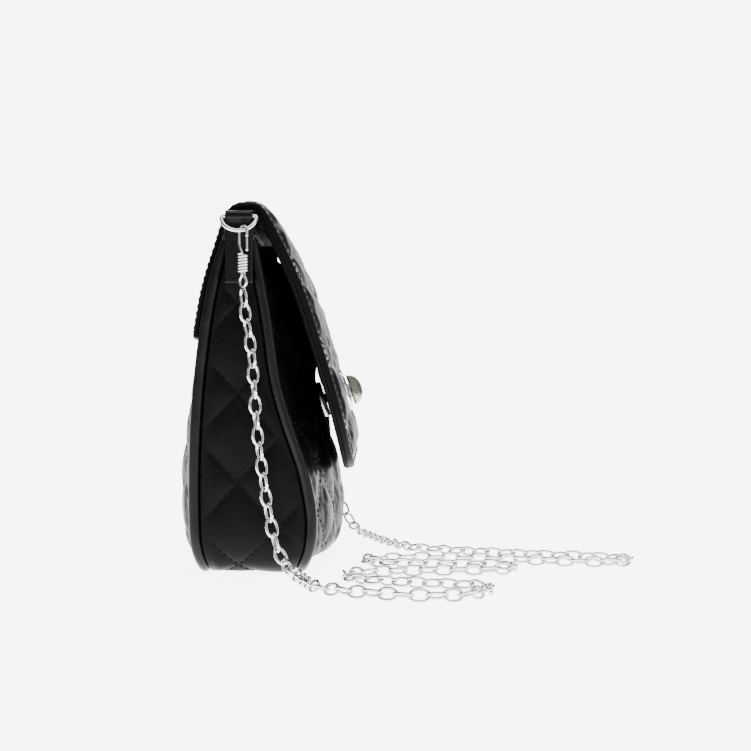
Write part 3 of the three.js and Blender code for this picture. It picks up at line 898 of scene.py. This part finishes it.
def lining():
    """The fabric bag inside, open at the top, with slack folds down its walls."""
    side, floor, thickness = SEAM + 1.8, 6.2, 0.8
    gap = BULGE_SINK + SKIN + 0.35
    columns = 60
    t = np.linspace(-1, 1, columns)

    def ring(z, wall):
        half = half_width(z, side) - wall
        folds = 0.5 * np.sin(t * 17 + z * 0.05) * (1 - t**2)
        front = front_edge(z) + gap + wall - LINING_FULLNESS * front_fullness(z) * crown(t) + folds * 0.4
        back = back_edge(z) - gap - wall + LINING_FULLNESS * back_fullness(z) * crown(t) + folds * 0.4
        one = np.stack([t * half, front, np.full(columns, z)], 1)
        two = np.stack([t[::-1] * half, back[::-1], np.full(columns, z)], 1)
        return np.vstack([one, two])

    heights = floor + (BODY_HEIGHT - 1 - floor) * np.linspace(0, 1, 40) ** 1.3
    inside = np.concatenate([heights[:0:-1], [floor + thickness]])
    rings = [ring(z, 0) for z in heights] + [ring(z, thickness) for z in inside]
    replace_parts(make_piece("lining_bag", *loft(rings), LINING, "lining_fabric"), "lining")


lining()


# ---------- flap ----------
FLAP_LINE = respaced(catmull(FLAP_POINTS, 24), count=400)
FLAP_TANGENT = np.gradient(FLAP_LINE, axis=0)
FLAP_TANGENT /= np.linalg.norm(FLAP_TANGENT, axis=1)[:, None]
FLAP_LENGTH = float(np.linalg.norm(np.diff(FLAP_LINE, axis=0), axis=1).sum())
FLAP_RUN = np.linspace(0, FLAP_LENGTH, len(FLAP_LINE))
REAR_LOW, REAR_HIGH = 95.0, 139.6


def flap_half(b):
    """Half the flap's width at b along it, less round its front corners."""
    drop = np.clip(FLAP_CORNER - (FLAP_LENGTH - b), 0, FLAP_CORNER)
    return FLAP_HALF - (FLAP_CORNER - np.sqrt(FLAP_CORNER**2 - drop**2))


def flap_place(x, b, depth):
    """A point of the flap at b along it from the hinge; b below zero runs down the rear strip."""
    along = np.clip(b, 0, FLAP_LENGTH)
    y, z = (np.interp(along, FLAP_RUN, FLAP_LINE[:, k]) for k in (0, 1))
    ty, tz = (np.interp(along, FLAP_RUN, FLAP_TANGENT[:, k]) for k in (0, 1))
    front = np.stack([x, y - tz * depth, z + ty * depth], -1)
    down = REAR_HIGH + (b + 6.0)
    rear_y = back_edge(down) + back_fullness(down) * crown(x / FLAP_HALF) + 0.35 + 2.0 - depth * 0.6
    rear = np.stack([x, rear_y, down], -1)
    share = smoothstep(b, -6.5, 0.5)[..., None]
    return rear * (1 - share) + front * share


FLAP_LOW = -(REAR_HIGH - REAR_LOW) - 6.0
EDGE_BAND = 5.0
LOCK_RUN = float(np.interp(-LOCK_Z, -FLAP_LINE[:, 1], FLAP_RUN))


def flap_span(b):
    half = flap_half(b)
    return -half, half


def flap_strip(low, depth):
    """The flap's surface at a depth under its face: a is x, and b runs along it from low to its front edge."""

    def place(x, b):
        return flap_place(x, b, depth)

    return Strip(place, flap_span, low, FLAP_LENGTH - 0.01, -1)


def flap_inside(a, b):
    """How far places (a, b) lie inside the flap's sides and front edge."""
    first, last = flap_span(b)
    return np.minimum(np.minimum(a - first, last - a), FLAP_LENGTH - b)


def edge_round(a, b, radius=1.3):
    """How far a face falls back near the flap's cut edge, to round it over."""
    share = 1 - np.clip(flap_inside(a, b) / radius, 0, 1)
    return radius * (1 - np.sqrt(np.maximum(0, 1 - share**2)))


def flap_skin(strip):
    """The flap's quilted face, plain in a band round its edge, on the rear strip and under the lock."""
    a, b, plain = strip.grid(124, 118)
    inside = flap_inside(a, b)
    fade = smoothstep(inside, EDGE_BAND - 1.2, EDGE_BAND + 4.5) * smoothstep(b, -2, 10)
    fade = fade * smoothstep(np.hypot(a, b - LOCK_RUN), 8, 15)
    groove = GROOVE_DEPTH * np.exp(-(((inside - EDGE_BAND + 1.6) / 0.8) ** 2))
    origin = (0, LOCK_RUN)
    lift = puff(a, b, origin, FLAP_PUFF) * fade - groove - edge_round(a, b)
    skin = plain + strip.normals(plain) * lift[..., None]
    return a, b, pressed(skin, a, b, origin, fade, strip.outward, "flap")


def flap_stitches(strip, skin):
    """The stitches of the quilting, of the band round the edge and of the rear strip's lower edge."""
    normals = strip.normals(skin)
    band = EDGE_BAND - 1.6

    def clear(x, b):
        half = flap_half(np.minimum(b, FLAP_LENGTH)) - EDGE_BAND
        in_face = (np.abs(x) < half) & (b > 3) & (b < FLAP_LENGTH - EDGE_BAND)
        return in_face & (np.hypot(x, b - LOCK_RUN) > 9.5)

    def row(x, b):
        return line_stitches(strip.sample(skin, x, b), strip.sample(normals, x, b))

    threads = seam_stitches(strip, skin, (0, LOCK_RUN), clear)
    down = np.arange(FLAP_LOW + 2, FLAP_LENGTH - band, 0.7)
    for side in (-1, 1):
        threads += row(side * (flap_half(down) - band), down)
    reach = flap_half(FLAP_LENGTH - band) - band - 1
    for half, b in ((reach, FLAP_LENGTH - band), (FLAP_HALF - 4, FLAP_LOW + 3.0)):
        x = np.arange(-half, half, 0.7)
        threads += row(x, np.full(len(x), b))
    return threads


def flap_underside():
    """The flap's lower layer, rounded over at its edge, sagging a little just above the snap."""
    a, b, top = flap_strip(2.0, FLAP_OUTER + 0.05).grid(90, 96)
    height = flap_place(a, b, FLAP_THICK)[..., 2]
    sag = 2.4 * np.exp(-(((height - 80) / 7) ** 2)) * (1 - (a / FLAP_HALF) ** 2)
    bottom = flap_place(a, b, FLAP_THICK - edge_round(a, b) + sag)
    piece = make_piece("flap_underside", *slab(top, bottom), FLAP_UNDER, "lining_fabric", "flap")
    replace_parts(piece, "flap_lining")


def flap():
    """The flap in one sweep with its rear strip, bent across the hinge."""
    strip = flap_strip(FLAP_LOW, 0.0)
    a, b, skin = flap_skin(strip)
    under = flap_place(a, b, FLAP_OUTER)
    shell = subdivided(make_piece("flap_quilted", *slab(skin, under), QUILTED, "quilted_leather", body=None))
    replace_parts(shell, "flap_outer", "flap_rear")
    threads = sewn("flap_stitches", flap_stitches(strip, skin), body=None)
    flap_underside()
    for piece in (shell, threads):
        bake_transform(piece)
    return shell


flap()


# ---------- turn lock and magnetic snap ----------
LOCK_TILT = math.radians(72)
LOCK_AT = np.array([0, -30.2, LOCK_Z])
LOCK_UP = np.array([0, math.cos(LOCK_TILT), math.sin(LOCK_TILT)])
LOCK_OUT = np.array([0, -math.sin(LOCK_TILT), math.cos(LOCK_TILT)])


def on_lock(points, faces):
    """A mesh set on the lock's axis: its x across, its y up the flap and its z straight out."""
    points = np.asarray(points, float)
    placed = LOCK_AT + np.outer(points[:, 0], (1, 0, 0)) + np.outer(points[:, 1], LOCK_UP)
    return placed + np.outer(points[:, 2], LOCK_OUT), faces


def ovals(profile, segments):
    """Rings round the z axis, from the half width, half height and z of each."""
    angles = np.linspace(0, 2 * math.pi, segments, endpoint=False)
    across, up, level = np.cos(angles), np.sin(angles), np.ones(segments)
    return [np.column_stack([x * across, y * up, z * level]) for x, y, z in profile]


def turned(profile, segments, wrapped=False):
    """A solid turned round the z axis, from the radius and z of each ring."""
    return loft(ovals([(r, r, z) for r, z in profile], segments), wrapped)


def lock_collar():
    """The oval ring that the knob turns in."""
    hole, half_wide, half_tall = 4.45, 7.4, 8.6
    section = [
        (0, 0.55), (1, 0.55), (1, 1.5), (0.97, 2.1), (0.88, 2.6), (0.7, 3.1), (0.45, 3.42), (0.2, 3.45),
        (0.06, 3.3), (0, 3.0),
    ]
    wide, tall = half_wide - hole, half_tall - hole
    profile = [(hole + wide * share, hole + tall * share, z) for share, z in section]
    ring = on_lock(*loft(ovals(profile, 72), wrapped=True))
    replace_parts(make_piece("lock_collar", *ring, SILVER, "silver_metal", "flap"), "lock_frame")


def turn_knob():
    """A half disc standing on a round post."""
    radius, reach, base = 6.8, 5.4, 4.0
    outline = []
    for angle in np.linspace(0, math.pi, 41):
        outline.append((radius * math.cos(angle), base + reach * math.sin(angle) ** 0.92))
    outline += [(-radius * share, base) for share in (0.92, 0.6, 0.3, 0, -0.3, -0.6, -0.92)]
    outline = np.array(outline)
    middle = np.array([0, base + 2.0])
    half = [(1.2, 0.90), (1.08, 0.955), (0.8, 0.99), (0.4, 1)]
    rings = []
    for across, scale in [(-x, scale) for x, scale in half] + half[::-1]:
        rings.append(np.column_stack([np.full(len(outline), across), middle + (outline - middle) * scale]))
    post = turned([(3.1, 0.6), (3.2, 0.8), (3.2, 3.5), (3.0, 3.9), (2.2, 4.3)], 40)
    both = on_lock(*joined([loft(rings), post]))
    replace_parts(make_piece("turn_knob", *both, DARK_METAL, "dark_metal", "lock_knob"), "lock_knob")


def magnetic_snap():
    """A stud on the flap's underside and a cup on the front panel, on the lock's axis."""
    stud = [(6.6, -5.3), (7, -5.6), (7, -6.8), (6.7, -7.2), (2.4, -7.25), (2.0, -7.45), (2.0, -8.8), (1.6, -9.2)]
    piece = make_piece("snap_stud", *on_lock(*turned(stud, 48)), SILVER, "silver_metal", "flap")
    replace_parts(piece, "snap_male")
    cup = [
        (3.4, -11.9), (7.8, -12.05), (8, -11.8), (8, -8.2), (7.7, -7.75), (7.0, -7.65), (3.8, -7.65), (3.4, -7.9),
    ]
    piece = make_piece("snap_socket", *on_lock(*turned(cup, 56, wrapped=True)), SILVER, "silver_metal")
    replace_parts(piece, "snap_female")


lock_collar()
turn_knob()
magnetic_snap()

for node in bpy.data.objects:
    if node.type == "MESH" and node.name.startswith("base_stiffener"):
        for place in node.material_slots:
            place.material = BOARD


# ---------- floor, backdrop and light ----------
FLOOR_NEAR, FLOOR_BEND, BEND_RADIUS = -0.62, 0.3, 1.5
FLOOR_SIDES = (-0.62, 0.53)
FLOOR_GLOW = 6.0
WORLD_LIGHT = 0.35


def stage_material(name, colour, glow):
    """A matt white that gives off light of its own, as a brightly lit studio sweep does."""
    material, _, shader = new_material(name)
    shader.inputs["Base Color"].default_value = (*colour, 1)
    shader.inputs["Roughness"].default_value = 0.8
    shader.inputs["Specular IOR Level"].default_value = 0.1
    shader.inputs["Emission Color"].default_value = (1, 1, 1, 1)
    shader.inputs["Emission Strength"].default_value = glow
    return material


def sweep():
    """A floor that curves up into a backdrop behind the purse, as the camera sees it."""
    line = [(FLOOR_NEAR, 0.0), (FLOOR_BEND, 0.0)]
    for angle in np.linspace(0, math.pi / 2, 25)[1:]:
        line.append((FLOOR_BEND + BEND_RADIUS * math.sin(angle), BEND_RADIUS * (1 - math.cos(angle))))
    points = [(x, y, z) for x, z in line for y in FLOOR_SIDES]
    mesh = bpy.data.meshes.new("floor")
    mesh.from_pydata(points, [], grid_faces(len(line), 2).tolist())
    mesh.polygons.foreach_set("use_smooth", [True] * len(mesh.polygons))
    mesh.materials.append(stage_material("floor", (0.95, 0.95, 0.95), FLOOR_GLOW))
    floor = bpy.data.objects.new("floor", mesh)
    bpy.context.scene.collection.objects.link(floor)


def area_light(name, place, target, size, power):
    """A soft box at a place, turned to a target, with its power in watts."""
    data = bpy.data.lights.new(name, "AREA")
    data.shape = "RECTANGLE"
    data.size, data.size_y = size
    data.energy = power
    lamp = bpy.data.objects.new(name, data)
    lamp.location = place
    lamp.rotation_euler = (Vector(target) - Vector(place)).to_track_quat("-Z", "Y").to_euler()
    bpy.context.scene.collection.objects.link(lamp)


sweep()
world = bpy.data.worlds.new("studio")
world.use_nodes = True
world.node_tree.nodes["Background"].inputs["Color"].default_value = (1, 1, 1, 1)
world.node_tree.nodes["Background"].inputs["Strength"].default_value = WORLD_LIGHT
bpy.context.scene.world = world
area_light("top", (-0.1, -0.05, 1.2), (0, 0, 0.05), (1.0, 1.0), 14)
area_light("front", (-0.45, -1.0, 0.5), (0, 0, 0.07), (0.35, 0.8), 6)
area_light("side", (-1.2, 0.55, 0.5), (0, 0, 0.08), (0.35, 0.7), 1)
area_light("fill", (-1.7, -0.1, 0.35), (0, 0, 0.08), (1.2, 0.7), 1.1)
